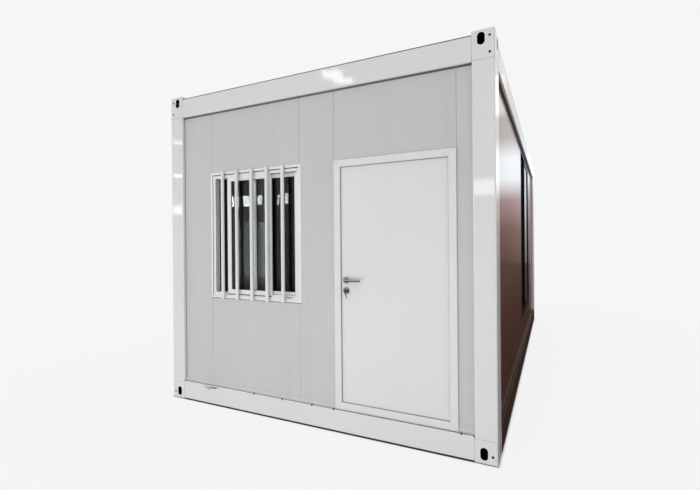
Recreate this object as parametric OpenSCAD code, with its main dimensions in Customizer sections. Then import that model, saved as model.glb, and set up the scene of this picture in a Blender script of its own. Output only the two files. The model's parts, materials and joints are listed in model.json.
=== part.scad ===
// Flat-pack container home: bolted steel frame, sandwich panel walls,
// barred sliding window, inward opening steel door and a tall side window.
// Millimetres. Origin at the bottom centre, front at -Y, +Z up.

/* [Overall] */
// Width across the front
unit_w = 2990; // [2960:5:3060]
// Length from front to back
unit_l = 6055; // [5900:5:6200]
// Height over the corner castings
unit_h = 2896; // [2860:1:2950]

/* [Folded steel] */
// Sheet thickness of posts, beams and joists
steel_t = 4; // [3:0.5:5]
// Outside radius of the folds
bend_r = 9; // [7:0.5:14]

/* [Corner castings] */
// Casting and post width along the front
cast_w = 150; // [140:1:160]
// Casting and post depth along the side
cast_d = 210; // [195:1:225]
// Height of a top casting
top_cast_h = 198; // [192:1:202]
// Height of a base casting
base_cast_h = 160; // [140:1:166]
// Plate thickness of the castings
cast_t = 6; // [5:0.5:8]
// Width of a lifting slot
slot_w = 50; // [40:1:56]
// Height of a lifting slot
slot_h = 84; // [70:1:90]
// End slot centre from the outer side
slot_in = 88; // [75:1:95]
// Side and top slot centre from the end face
slot_back = 140; // [125:1:150]
// Top slot centre from the outer side
top_slot_in = 52; // [45:1:75]
// Slot centre below the casting top
top_slot_drop = 58; // [55:1:70]
// Slot centre above the ground
base_slot_z = 67; // [60:1:80]
// Radius of the bolt holes
bolt_r = 7; // [5:0.5:8]
// Bolt holes from the outer side
bolt_in = 32; // [26:1:40]
// First bolt hole below the casting top
top_bolt_drop = 47; // [35:1:60]
// Spacing of the two bolt holes
bolt_pitch = 110; // [90:1:115]
// Base bolt hole above the ground
base_bolt_z = 57; // [40:1:80]

/* [Roof frame] */
// Height of the roof beam face
roof_face_h = 175; // [172:1:180]
// Castings standing above the roof beams
roof_drop = 27; // [22:1:30]
// Width of the roof beam top
beam_top_w = 40; // [32:1:50]
// Depth of the gutter
gutter_deep = 60; // [45:1:75]
// Width from the face to the gutter upstand
gutter_out = 130; // [115:1:140]
// Height of the gutter upstand
upstand_h = 40; // [30:1:44]

/* [Base frame] */
// Height of the base beam face
base_face_h = 169; // [160:1:175]
// Base beams above the ground
base_lift = 7; // [4:1:12]
// Width of the base beam top
base_top_w = 125; // [110:1:135]
// Width of the base beam foot
base_foot_w = 60; // [40:1:90]
// Radius of the upper corners of the base beam faces
beam_corner_r = 18; // [12:1:26]

/* [Walls] */
// Wall set back behind the frame faces
wall_recess = 30; // [26:1:34]
// Sandwich panel thickness
wall_t = 50; // [46:1:60]
// Panel ends tucked behind the posts
post_cover = 20; // [10:1:25]
// Half width of a panel seam
seam_w = 1.5; // [1:0.5:4]
// Depth of a panel seam
seam_d = 2; // [1:0.5:5]
// Height of the wall foot trim
trim_h = 25; // [15:1:40]
// Thickness of the wall foot trim
trim_t = 4; // [3:0.5:6]
// Window bay width
window_bay_w = 950; // [930:1:960]
// Door bay width
door_bay_w = 956; // [930:1:970]
// Width of the panel left of the window, cut to fit between the posts
left_panel_w = 346; // [330:1:360]
// Width of the panel between window and door, cut to fit between the posts
middle_panel_w = 329; // [310:1:340]
// Width of the panel right of the door, cut to fit between the posts
right_panel_w = 109; // [95:1:120]
// Number of panels in the left wall
left_n = 6; // [4:2:8]
// Number of panels in the back wall
back_n = 3; // [3:2:5]
// Leg of the inside corner trim along the front
corner_leg_x = 100; // [80:1:130]
// Leg of the inside corner trim along the side
corner_leg_y = 160; // [130:1:190]
// Thickness of the inside corner trim
corner_t = 3; // [2:0.5:5]

/* [Front window] */
// Window frame bottom above the ground
win_sill_z = 1003; // [980:1:1040]
// Window frame height
win_h = 1118; // [1080:1:1140]
// Outer flange lapping over the panels
win_lap = 17; // [10:1:24]
// Thickness of the outer flange
win_flange_t = 4; // [3:0.5:6]
// Thickness of the window frame jambs
win_jamb = 22; // [18:1:28]
// Window frame standing into the room
win_inset = 15; // [8:1:25]
// Shadow groove of the flange, inwards from the bay edge
groove_in = 5; // [2:0.5:6]
// Width of the shadow groove
groove_w = 8; // [3:0.5:8]
// Depth of the shadow groove
groove_d = 6; // [4:0.5:10]
// Sash width
sash_w = 490; // [470:1:500]
// Sash stile and rail width
sash_stile = 46; // [38:1:52]
// Sash thickness
sash_t = 18; // [14:1:20]
// Outer sash slid open by this much
sash_open = 150; // [60:1:200]
// Gap above a sash
sash_head_gap = 6; // [4:1:8]
// Height of the sash guide ribs
rib_guide_h = 16; // [9:1:18]
// Gap between a sash and its guide ribs
sash_side_gap = 1; // [0.5:0.5:1.5]
// Pane thickness
pane_t = 5; // [4:1:7]
// Pane held in the sash by this much
pane_lap = 8; // [6:0.5:12]
// Height of the glazing bead
bead_h = 8; // [5:0.5:12]
// Depth of the glazing bead slope
bead_d = 5; // [3:0.5:5.5]
// Bevel on the edges of frames and sashes
edge_cut = 3; // [2:0.5:4]

/* [Window bars] */
// Number of security bars
bar_n = 5; // [3:1:6]
// Bar radius
bar_r = 15.5; // [9:0.5:16]
// Bar spacing
bar_pitch = 164; // [120:1:170]
// Bar axis in front of the flange
bar_stand = 18; // [17:0.5:22]
// Middle bar left of the window centre
bar_shift = 5.5; // [0:0.5:12]
// Radius of the bar feet
bar_foot_r = 6; // [4:0.5:8]

/* [Side window] */
// Near edge of the side window from the front
side_win_y = 2860; // [2700:5:2950]
// Side window width
side_win_w = 1750; // [1600:5:1850]
// Side window bottom above the ground
side_sill_z = 490; // [420:5:560]
// Side window frame face width
side_frame = 50; // [40:1:60]
// Side sash stile width
side_stile = 55; // [45:1:70]
// Side window handle height above the ground
pull_z = 1352; // [1200:1:1500]
// Side window handle length
pull_h = 120; // [90:1:160]
// Side window handle width
pull_w = 24; // [16:1:32]
// Side window handle projection
pull_out = 12; // [8:0.5:16]
// Slope of the side window handle's flanks
pull_slope = 5; // [2:0.5:7]

/* [Door] */
// Door frame standing proud of the wall
door_proud = 16; // [10:1:22]
// Top of the door frame above the ground
door_top_z = 2135; // [2100:1:2180]
// Door frame face width
door_face = 57; // [50:1:64]
// Thickness of the door stop lip
door_lip_t = 11; // [8:0.5:12]
// Leaf edge hidden behind the stop lip
door_lap = 12; // [8:0.5:16]
// Clearance round the door leaf
door_clear = 5; // [5:0.5:7]
// Door leaf thickness
leaf_t = 50; // [44:1:54]
// Edge radius of the door leaf
leaf_r = 3; // [2:0.5:5]

/* [Door lock and lever] */
// Lever centre from the leaf edge
backset = 55; // [45:1:65]
// Lever height above the ground
lever_z = 1192; // [1100:1:1250]
// Lock height below the lever
lock_drop = 81; // [70:1:95]
// Rose radius
rose_r = 26; // [22:0.5:29]
// Rose thickness
rose_t = 9; // [7:0.5:11]
// Bevel on the rim of a rose
rose_cut = 3; // [2:0.5:5]
// Lever neck radius
neck_r = 9.5; // [6:0.5:10]
// Clearance round the lever neck
neck_clear = 0.8; // [0.5:0.1:1.5]
// Bend radius of the lever
lever_bend = 16; // [12:1:20]
// Lever length from the neck axis
lever_len = 136; // [100:1:145]
// Lever axis from the leaf face
lever_out = 46; // [36:1:55]
// Lock plug radius
plug_r = 8.5; // [7:0.5:10]
// Lock plug projection
plug_out = 12; // [11:0.5:16]
// Key bow radius
bow_r = 12; // [9:0.5:14]
// Key thickness
key_t = 3; // [2:0.5:4]
// Key shank width
shank_w = 8; // [6:0.5:10]
// Shank between plug and bow
shank_len = 8; // [5:0.5:12]
// Hanging key length
hang_len = 48; // [35:1:60]
// Angle of the hanging key from plumb
hang_angle = 17; // [0:1:25]

/* [Door hinges] */
// Number of hinges
hinge_n = 3; // [2:1:4]
// Hinge height
hinge_h = 100; // [80:1:130]
// Knuckle radius
knuckle_r = 9; // [8:0.5:11]
// Hinge pin radius
pin_r = 5; // [4:0.5:6]
// Clearance round the hinge pin
pin_clear = 0.4; // [0.3:0.1:0.8]
// Clearance between the two knuckles
knuckle_gap = 2; // [1:0.5:4]
// Hinge plate thickness
plate_t = 3; // [2.5:0.5:4]
// Hinge plate width
plate_w = 36; // [28:1:38]
// End hinges from the leaf ends
hinge_end = 180; // [140:5:260]

/* [Floor] */
// Floor deck thickness
deck_t = 18; // [15:1:25]
// Number of floor joists
joist_n = 9; // [7:1:11]
// Joist height
joist_h = 100; // [80:1:130]
// Joist width
joist_w = 50; // [40:1:60]

/* [Ceiling and roof] */
// Ceiling board thickness
ceiling_t = 12; // [9:1:20]
// Ceiling bearing on the wall tops
ceiling_bear = 35; // [25:1:40]
// Clearance round the castings
cast_gap = 2; // [1:0.5:5]
// Roof sheet thickness
roof_t = 3; // [2:0.5:4]
// Roof sheet overhanging the gutter upstand
roof_eave = 26; // [15:1:36]
// Number of standing seams
seam_n = 11; // [7:1:13]
// Standing seam height
seam_h = 22; // [15:1:25]
// Standing seam width
seam_rib_w = 24; // [18:1:32]

/* [Hidden] */
$fn = 64;

tiny = 0.01;
white = [0.85, 0.85, 0.86];
grey = [0.76, 0.76, 0.75];
brown = [0.24, 0.13, 0.11];
black = [0.05, 0.05, 0.06];
steel = [0.62, 0.62, 0.62];
brass = [0.55, 0.42, 0.22];
tint = [0.16, 0.19, 0.22];

wall_in = wall_recess + wall_t;
wall_top = unit_h - top_cast_h;
base_top = base_lift + base_face_h;
roof_top = unit_h - roof_drop;
roof_bottom = roof_top - roof_face_h;
gutter_floor = roof_top - gutter_deep;
upstand_top = gutter_floor + upstand_h;
deck_top = base_top + deck_t;

spare_w = unit_w - 2 * cast_w - window_bay_w - door_bay_w;
fit_w = spare_w / (left_panel_w + middle_panel_w + right_panel_w);
seam_1 = cast_w + left_panel_w * fit_w;
seam_2 = seam_1 + window_bay_w;
seam_3 = seam_2 + middle_panel_w * fit_w;
seam_4 = seam_3 + door_bay_w;
first_x = cast_w - post_cover;
last_x = unit_w - first_x;
first_y = cast_d - post_cover;
last_y = unit_l - first_y;
side_win_end = side_win_y + side_win_w;

win_top_z = win_sill_z + win_h;
flange_v = wall_recess - win_flange_t;
win_left = seam_1 + win_jamb;
win_right = seam_2 - win_jamb;
sash_z0 = win_sill_z + win_jamb;
sash_z1 = win_top_z - win_jamb - sash_head_gap;
track_rib = (wall_t - 2 * sash_t - 4 * sash_side_gap) / 3;
track_1 = wall_recess + track_rib + sash_side_gap;
track_2 = wall_in - track_rib - sash_side_gap - sash_t;

side_in_0 = side_win_y + side_frame;
side_in_1 = side_win_end - side_frame;
side_in_z0 = side_sill_z + side_frame;
side_in_z1 = wall_top - side_frame;
side_sash_w = (side_in_1 - side_in_0 + side_stile) / 2;
side_sash_z1 = side_in_z1 - sash_head_gap;

frame_v = wall_recess - door_proud;
lip_in_0 = seam_3 + door_face;
lip_in_1 = seam_4 - door_face;
lip_z0 = base_top + door_face;
lip_z1 = door_top_z - door_face;
leaf_v = frame_v + door_lip_t + door_clear;
leaf_in = leaf_v + leaf_t;
leaf_x0 = lip_in_0 - door_lap;
leaf_x1 = lip_in_1 + door_lap;
leaf_z0 = lip_z0 - door_lap;
leaf_z1 = lip_z1 + door_lap;
hinge_x = leaf_x1 + door_clear / 2;
hinge_v = leaf_in + knuckle_r;
hinge_step = (leaf_z1 - leaf_z0 - 2 * hinge_end) / (hinge_n - 1);
lever_x = leaf_x0 + backset;
lock_z = lever_z - lock_drop;

// Shifts the corner frame (X from the left, Y from the front) to the bottom centre
module placed() {
    translate([-unit_w / 2, -unit_l / 2, 0]) children();
}

// Box between two corners
module box(low, high) {
    translate(low) cube(high - low);
}

// Carries a piece made for the front left corner to corner (i, j)
module at_corner(i, j) {
    translate([i * unit_w, j * unit_l, 0]) mirror([i, 0, 0]) mirror([0, j, 0]) children();
}

// Sweeps a (depth, height) outline along X
module along_x(x0, x1) {
    translate([x0, 0, 0]) rotate([90, 0, 90]) linear_extrude(x1 - x0) children();
}

// Sweeps an (across, height) outline along Y
module along_y(y0, y1) {
    translate([0, y1, 0]) rotate([90, 0, 0]) linear_extrude(y1 - y0) children();
}

// Cylinder from the front face inwards
module rod_y(x, z, v0, v1, r) {
    translate([x, v1, z]) rotate([90, 0, 0]) cylinder(r = r, h = v1 - v0);
}

// Folded sheet corner, its outside at the origin and its legs along +X and +Y
module fold() {
    translate([bend_r, bend_r]) intersection() {
        difference() {
            circle(bend_r);
            circle(bend_r - steel_t);
        }
        translate([-bend_r, -bend_r]) square(bend_r);
    }
}

// Angle of folded sheet with legs a along +X and b along +Y
module angle_2d(a, b) {
    fold();
    if (a > bend_r) translate([bend_r, 0]) square([a - bend_r, steel_t]);
    if (b > bend_r) translate([0, bend_r]) square([steel_t, b - bend_r]);
}

// Upright slot outline
module slot_2d() {
    half = (slot_h - slot_w) / 2;
    translate([-slot_w / 2, -half]) square([slot_w, 2 * half]);
    translate([0, half]) circle(slot_w / 2);
    translate([0, -half]) circle(slot_w / 2);
}

// Cuts a slot through the end plate of a casting
module end_slot(z) {
    translate([slot_in, cast_t + 1, z]) rotate([90, 0, 0]) linear_extrude(cast_t + 2) slot_2d();
}

// Cuts a slot through the side plate of a casting
module side_slot(z) {
    translate([-1, slot_back, z]) rotate([90, 0, 90]) linear_extrude(cast_t + 2) slot_2d();
}

// Hollow casting with a rounded outer corner
module casting_shell(h) {
    difference() {
        linear_extrude(h) difference() {
            square([cast_w, cast_d]);
            difference() {
                square(bend_r);
                translate([bend_r, bend_r]) circle(bend_r);
            }
        }
        box([cast_t, cast_t, cast_t], [cast_w - cast_t, cast_d - cast_t, h - cast_t]);
    }
}

module top_casting() {
    slot_z = top_cast_h - top_slot_drop;
    bolt_z = top_cast_h - top_bolt_drop;
    translate([0, 0, wall_top]) difference() {
        casting_shell(top_cast_h);
        end_slot(slot_z);
        side_slot(slot_z);
        translate([top_slot_in, slot_back, top_cast_h - cast_t - 1])
            linear_extrude(cast_t + 2) slot_2d();
        rod_y(bolt_in, bolt_z, -1, cast_t + 1, bolt_r);
        rod_y(bolt_in, bolt_z - bolt_pitch, -1, cast_t + 1, bolt_r);
    }
}

module base_casting() {
    difference() {
        casting_shell(base_cast_h);
        end_slot(base_slot_z);
        side_slot(base_slot_z);
        rod_y(bolt_in, base_bolt_z, -1, cast_t + 1, bolt_r);
    }
}

module top_front_castings() {
    color(white) placed() for (i = [0, 1]) at_corner(i, 0) top_casting();
}

module top_back_castings() {
    color(white) placed() for (i = [0, 1]) at_corner(i, 1) top_casting();
}

module base_front_castings() {
    color(white) placed() for (i = [0, 1]) at_corner(i, 0) base_casting();
}

module base_back_castings() {
    color(white) placed() for (i = [0, 1]) at_corner(i, 1) base_casting();
}

// Folded corner post: two faces, two returns and two lips that hold the panels
module post() {
    translate([0, 0, base_cast_h]) linear_extrude(wall_top - base_cast_h) {
        angle_2d(cast_w - bend_r, cast_d - bend_r);
        translate([cast_w, 0]) mirror([1, 0]) angle_2d(bend_r, wall_recess);
        translate([0, cast_d]) mirror([0, 1]) angle_2d(wall_recess, bend_r);
        translate([first_x, wall_recess - steel_t]) square([post_cover, steel_t]);
        translate([wall_recess - steel_t, first_y]) square([steel_t, post_cover]);
    }
}

module front_posts() {
    color(white) placed() for (i = [0, 1]) at_corner(i, 0) post();
}

module back_posts() {
    color(white) placed() for (i = [0, 1]) at_corner(i, 1) post();
}

// Roof beam outline: face, soffit, top and gutter
module roof_beam_2d() {
    translate([0, roof_bottom]) angle_2d(wall_recess, roof_face_h / 2);
    translate([0, roof_top]) mirror([0, 1]) angle_2d(beam_top_w, roof_face_h / 2);
    translate([beam_top_w - steel_t, gutter_floor]) square([steel_t, gutter_deep]);
    translate([beam_top_w - steel_t, gutter_floor])
        square([gutter_out - beam_top_w + steel_t, steel_t]);
    translate([gutter_out - steel_t, gutter_floor]) square([steel_t, upstand_h]);
}

module roof_end_beams() {
    color(white) placed() for (j = [0, 1]) at_corner(0, j)
        along_x(cast_w, unit_w - cast_w) roof_beam_2d();
}

module roof_side_beams() {
    color(white) placed() for (i = [0, 1]) at_corner(i, 0)
        along_y(cast_d, unit_l - cast_d) roof_beam_2d();
}

// Base beam outline: face, wide top and foot
module base_beam_2d() {
    translate([0, base_lift]) angle_2d(base_foot_w, base_face_h / 2);
    translate([0, base_top]) mirror([0, 1]) angle_2d(base_top_w, base_face_h / 2);
}

// Cuts the upper corner of a base beam face round beside the casting
module beam_corner() {
    translate([cast_w, bend_r, base_top - beam_corner_r]) rotate([90, 0, 0])
        linear_extrude(bend_r + 1) difference() {
            translate([-1, 0]) square([beam_corner_r + 1, beam_corner_r + 1]);
            translate([beam_corner_r, 0]) circle(beam_corner_r);
        }
}

module base_end_beams() {
    color(white) placed() for (j = [0, 1]) at_corner(0, j) difference() {
        along_x(cast_w, unit_w - cast_w) base_beam_2d();
        for (i = [0, 1]) at_corner(i, 0) beam_corner();
    }
}

module base_side_beams() {
    color(brown) placed() for (i = [0, 1]) at_corner(i, 0)
        along_y(cast_d, unit_l - cast_d) base_beam_2d();
}

// Channel joist, its ends stepped down under the side beam tops
module joist() {
    difference() {
        along_x(bend_r, unit_w - bend_r) {
            translate([0, base_top - joist_h]) square([steel_t, joist_h]);
            translate([0, base_top - joist_h]) square([joist_w, steel_t]);
            translate([0, base_top - 2 * steel_t]) square([joist_w, 2 * steel_t]);
        }
        for (i = [0, 1]) at_corner(i, 0)
            box([0, -1, base_top - steel_t], [base_top_w, joist_w + 1, base_top + 1]);
    }
}

module floor_joists() {
    joist_first = cast_d + joist_w;
    joist_step = (unit_l - 2 * joist_first - joist_w) / (joist_n - 1);
    color(steel) placed() for (k = [0 : joist_n - 1])
        translate([0, joist_first + k * joist_step, 0]) joist();
}

module floor_deck() {
    color(steel) placed() {
        box([wall_in, wall_in, base_top], [unit_w - wall_in, unit_l - wall_in, deck_top]);
    }
}

// Blocks that keep a roof layer clear of the castings
module casting_notches(z0, z1) {
    for (i = [0, 1], j = [0, 1]) at_corner(i, j)
        box([-1, -1, z0], [cast_w + cast_gap, cast_d + cast_gap, z1]);
}

module ceiling_board() {
    edge = wall_in - ceiling_bear;
    color(white) placed() difference() {
        box([edge, edge, wall_top], [unit_w - edge, unit_l - edge, wall_top + ceiling_t]);
        casting_notches(wall_top - 1, wall_top + ceiling_t + 1);
    }
}

// Standing seam outline, grown by d
module seam_2d(d) {
    foot = seam_rib_w / 2 + d;
    crown = seam_rib_w / 4 + d;
    polygon([[-foot, -1], [foot, -1], [foot, 0], [crown, seam_h + d], [-crown, seam_h + d], [-foot, 0]]);
}

// Roof sheet folded up into hollow standing seams across the width
module roof_sheet() {
    edge = gutter_out - roof_eave;
    seam_first = cast_d + 3 * seam_rib_w;
    seam_step = (unit_l - 2 * seam_first) / (seam_n - 1);
    color(steel) placed() difference() {
        translate([0, 0, upstand_top]) along_x(edge, unit_w - edge) difference() {
            union() {
                translate([edge, 0]) square([unit_l - 2 * edge, roof_t]);
                for (k = [0 : seam_n - 1]) translate([seam_first + k * seam_step, 1]) seam_2d(roof_t);
            }
            for (k = [0 : seam_n - 1]) translate([seam_first + k * seam_step, 0]) seam_2d(0);
        }
        casting_notches(upstand_top - 1, upstand_top + roof_t + 1);
    }
}

module corner_trims() {
    color(white) placed() for (i = [0, 1], j = [0, 1]) at_corner(i, j)
        translate([wall_in, wall_in, deck_top]) linear_extrude(wall_top - deck_top) {
            square([corner_leg_x, corner_t]);
            square([corner_t, corner_leg_y]);
        }
}

// Foot trim outline, its upper edge sloped to shed water
module trim_2d() {
    trim_v = wall_recess - trim_t;
    trim_z = base_top + trim_h;
    polygon([
        [trim_v, base_top], [wall_recess, base_top], [wall_recess, trim_z], [trim_v, trim_z - trim_t]
    ]);
}

module wall_foot_trims() {
    color(white) placed() {
        along_x(cast_w, seam_3) trim_2d();
        along_x(seam_4, unit_w - cast_w) trim_2d();
        at_corner(0, 1) along_x(cast_w, unit_w - cast_w) trim_2d();
    }
}

module side_foot_trims() {
    color(brown) placed() for (i = [0, 1]) at_corner(i, 0)
        along_y(cast_d, unit_l - cast_d) trim_2d();
}

// Panel outline with a seam step at each outer edge, width along X and depth along Y
module panel_2d(a0, a1) {
    polygon([
        [a0, wall_recess + seam_d], [a0 + seam_w, wall_recess + seam_d], [a0 + seam_w, wall_recess],
        [a1 - seam_w, wall_recess], [a1 - seam_w, wall_recess + seam_d], [a1, wall_recess + seam_d],
        [a1, wall_in], [a0, wall_in]
    ]);
}

// Upright panel of an end wall
module end_panel(x0, x1, z0, z1) {
    translate([0, 0, z0]) linear_extrude(z1 - z0) panel_2d(x0, x1);
}

// Upright panel of the left wall
module side_panel(y0, y1, z0, z1) {
    mirror([1, -1, 0]) end_panel(y0, y1, z0, z1);
}

module front_panel_left() {
    color(grey) placed() end_panel(first_x, seam_1, base_top, wall_top);
}

module front_panel_window() {
    color(grey) placed() {
        end_panel(seam_1, seam_2, base_top, win_sill_z);
        end_panel(seam_1, seam_2, win_top_z, wall_top);
    }
}

module front_panel_middle() {
    color(grey) placed() end_panel(seam_2, seam_3, base_top, wall_top);
}

module front_panel_over_door() {
    color(grey) placed() end_panel(seam_3, seam_4, door_top_z, wall_top);
}

module front_panel_right() {
    color(grey) placed() end_panel(seam_4, last_x, base_top, wall_top);
}

// Edge k of n equal panels in a wall whose posts leave it clear from c0 to c1
function panel_edge(k, n, c0, c1) =
    k == 0 ? c0 - post_cover : k == n ? c1 + post_cover : c0 + k * (c1 - c0) / n;

// Every second panel of the left wall
module left_panels(start) {
    for (k = [start : 2 : left_n - 1]) side_panel(
        panel_edge(k, left_n, cast_d, unit_l - cast_d),
        panel_edge(k + 1, left_n, cast_d, unit_l - cast_d), base_top, wall_top);
}

// Every second panel of the back wall
module back_panels(start) {
    for (k = [start : 2 : back_n - 1]) at_corner(0, 1) end_panel(
        panel_edge(k, back_n, cast_w, unit_w - cast_w),
        panel_edge(k + 1, back_n, cast_w, unit_w - cast_w), base_top, wall_top);
}

module left_panels_odd() {
    color(brown) placed() left_panels(0);
}

module left_panels_even() {
    color(brown) placed() left_panels(1);
}

module back_panels_odd() {
    color(grey) placed() back_panels(0);
}

module back_panels_even() {
    color(grey) placed() back_panels(1);
}

right_1 = cast_d + (side_win_y - cast_d) / 3;
right_2 = cast_d + (side_win_y - cast_d) * 2 / 3;
right_3 = (side_win_end + unit_l - cast_d) / 2;

module right_panels_odd() {
    color(brown) placed() at_corner(1, 0) {
        side_panel(first_y, right_1, base_top, wall_top);
        side_panel(right_2, side_win_y, base_top, wall_top);
        side_panel(side_win_end, right_3, base_top, wall_top);
    }
}

module right_panels_even() {
    color(brown) placed() at_corner(1, 0) {
        side_panel(right_1, right_2, base_top, wall_top);
        side_panel(side_win_y, side_win_end, base_top, side_sill_z);
        side_panel(right_3, last_y, base_top, wall_top);
    }
}

// One side of a frame: a (depth, inward) outline swept along X, its ends cut at 45 degrees
module mitred_side(run, lap, reach) {
    intersection() {
        along_x(-lap, run + lap) children();
        along_y(0, 2 * wall_in)
            polygon([[-lap, -lap], [run + lap, -lap], [run - reach, reach], [reach, reach]]);
    }
}

// Frame of four mitred sides, its outline reaching lap outwards and reach inwards
module mitred_frame(low, high, lap, reach) {
    run_x = high[0] - low[0];
    run_z = high[1] - low[1];
    translate([low[0], 0, low[1]]) {
        mitred_side(run_x, lap, reach) children();
        translate([0, 0, run_z]) mirror([0, 0, 1]) mitred_side(run_x, lap, reach) children();
        mirror([1, 0, -1]) mitred_side(run_z, lap, reach) children();
        translate([run_x, 0, 0]) mirror([1, 0, 0]) mirror([1, 0, -1])
            mitred_side(run_z, lap, reach) children();
    }
}

// Three guide ribs that hold two sashes, standing on a jamb of the given thickness
module ribs_2d(jamb) {
    second = wall_recess + track_rib + sash_t + 2 * sash_side_gap;
    for (v = [wall_recess, second, wall_in - track_rib])
        translate([v, jamb - 1]) square([track_rib, rib_guide_h + 1]);
}

// Front window frame outline: lapping flange with a shadow groove, jamb and guide ribs
module window_2d() {
    room_v = wall_in + win_inset;
    groove_v = flange_v + groove_d;
    groove_end = groove_in + groove_w;
    polygon([
        [flange_v, edge_cut - win_lap], [flange_v + edge_cut, -win_lap], [wall_recess, -win_lap],
        [wall_recess, 0], [room_v, 0], [room_v, win_jamb], [flange_v + edge_cut, win_jamb],
        [flange_v, win_jamb - edge_cut], [flange_v, groove_end], [groove_v, groove_end],
        [groove_v, groove_in], [flange_v, groove_in]
    ]);
    ribs_2d(win_jamb);
}

module window_frame() {
    color(white) placed()
        mitred_frame([seam_1, win_sill_z], [seam_2, win_top_z], win_lap, win_jamb + rib_guide_h)
            window_2d();
}

// Sash outline with a sloped bead on each face and a groove for the pane
module sash_2d(stile) {
    groove_0 = (sash_t - pane_t) / 2;
    groove_1 = groove_0 + pane_t;
    polygon([
        [0, edge_cut], [0, stile - bead_h], [bead_d, stile], [groove_0, stile],
        [groove_0, stile - pane_lap], [groove_1, stile - pane_lap], [groove_1, stile],
        [sash_t - bead_d, stile], [sash_t, stile - bead_h], [sash_t, edge_cut],
        [sash_t - edge_cut, 0], [edge_cut, 0]
    ]);
}

// Sash between two corners, its outer face at depth v
module sash(low, high, v, stile) {
    mitred_frame(low, high, 0, stile) translate([v, 0]) sash_2d(stile);
}

// Pane seated in the grooves of a sash
module pane(low, high, v, stile) {
    lip = stile - pane_lap;
    mid = v + (sash_t - pane_t) / 2;
    box([low[0] + lip, mid, low[1] + lip], [high[0] - lip, mid + pane_t, high[1] - lip]);
}

outer_low = [win_left + sash_open, sash_z0];
outer_high = [win_left + sash_open + sash_w, sash_z1];
inner_low = [win_right - sash_w, sash_z0];
inner_high = [win_right, sash_z1];

module window_sash_outer() {
    color(white) placed() sash(outer_low, outer_high, track_1, sash_stile);
}

module window_sash_inner() {
    color(white) placed() sash(inner_low, inner_high, track_2, sash_stile);
}

module window_panes() {
    color(tint) placed() {
        pane(outer_low, outer_high, track_1, sash_stile);
        pane(inner_low, inner_high, track_2, sash_stile);
    }
}

module window_bars() {
    bar_v = flange_v - bar_stand;
    bar_z0 = win_sill_z - win_lap;
    bar_z1 = win_top_z + win_lap;
    foot_in = (win_lap + win_jamb) / 2;
    first = (seam_1 + seam_2) / 2 - bar_shift - bar_pitch * (bar_n - 1) / 2;
    color(white) placed() for (k = [0 : bar_n - 1]) {
        bar_x = first + k * bar_pitch;
        translate([bar_x, bar_v, bar_z0]) cylinder(r = bar_r, h = bar_z1 - bar_z0);
        rod_y(bar_x, bar_z0 + foot_in, bar_v, flange_v, bar_foot_r);
        rod_y(bar_x, bar_z1 - foot_in, bar_v, flange_v, bar_foot_r);
    }
}

// Carries a piece made for an end wall to the right wall, X becoming the run along the side
module on_right() {
    placed() at_corner(1, 0) mirror([1, -1, 0]) children();
}

// Side window frame outline: jamb and guide ribs
module side_window_2d() {
    polygon([
        [wall_recess, edge_cut], [wall_recess + edge_cut, 0], [wall_in, 0],
        [wall_in, side_frame], [wall_recess, side_frame]
    ]);
    ribs_2d(side_frame);
}

module side_window_frame() {
    color(black) on_right()
        mitred_frame([side_win_y, side_sill_z], [side_win_end, wall_top], 0, side_frame + rib_guide_h)
            side_window_2d();
}

near_low = [side_in_0, side_in_z0];
near_high = [side_in_0 + side_sash_w, side_sash_z1];
far_low = [side_in_1 - side_sash_w, side_in_z0];
far_high = [side_in_1, side_sash_z1];

module side_sash_near() {
    color(black) on_right() sash(near_low, near_high, track_2, side_stile);
}

module side_sash_far() {
    color(black) on_right() sash(far_low, far_high, track_1, side_stile);
}

module side_panes() {
    color(tint) on_right() {
        pane(near_low, near_high, track_2, side_stile);
        pane(far_low, far_high, track_1, side_stile);
    }
}

module side_window_pull() {
    foot = pull_w / 2;
    crest = foot - pull_slope;
    color(steel) on_right()
        translate([far_low[0] + side_stile / 2, track_1, pull_z - pull_h / 2]) linear_extrude(pull_h)
            polygon([[-foot, 0], [foot, 0], [crest, -pull_out], [-crest, -pull_out]]);
}

// Door frame outline: proud face, stop lip and rebate
module door_frame_2d() {
    rebate_v = frame_v + door_lip_t;
    rebate_a = door_face - door_lap - door_clear;
    polygon([
        [frame_v, edge_cut], [frame_v + edge_cut, 0], [leaf_in, 0], [leaf_in, rebate_a],
        [rebate_v, rebate_a], [rebate_v, door_face], [frame_v + edge_cut, door_face],
        [frame_v, door_face - edge_cut]
    ]);
}

module door_frame() {
    color(white) placed()
        mitred_frame([seam_3, base_top], [seam_4, door_top_z], 0, door_face) door_frame_2d();
}

// Leaf plan with rounded upright edges
module leaf_2d() {
    low = [leaf_x0, leaf_v];
    high = [leaf_x1, leaf_in];
    translate(low + [leaf_r, 0]) square(high - low - [2 * leaf_r, 0]);
    translate(low + [0, leaf_r]) square(high - low - [0, 2 * leaf_r]);
    for (x = [leaf_x0 + leaf_r, leaf_x1 - leaf_r], v = [leaf_v + leaf_r, leaf_in - leaf_r])
        translate([x, v]) circle(leaf_r);
}

module door_leaf() {
    color(white) placed() difference() {
        translate([0, 0, leaf_z0]) linear_extrude(leaf_z1 - leaf_z0) leaf_2d();
        rod_y(lever_x, lever_z, leaf_v - 1, leaf_in + 1, neck_r + 2 * neck_clear);
    }
}

// Turned rose with a bevelled rim, standing on the leaf at the origin and bored for a neck or plug
module rose(bore_r) {
    rotate([90, 0, 0]) rotate_extrude() polygon([
        [bore_r, 0], [rose_r, 0], [rose_r, rose_t - rose_cut], [rose_r - rose_cut, rose_t], [bore_r, rose_t]
    ]);
}

// Roses for the lever and the lock
module rose_pair() {
    translate([lever_x, 0, lever_z]) rose(neck_r + neck_clear);
    translate([lever_x, 0, lock_z]) rose(plug_r + neck_clear);
}

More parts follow.
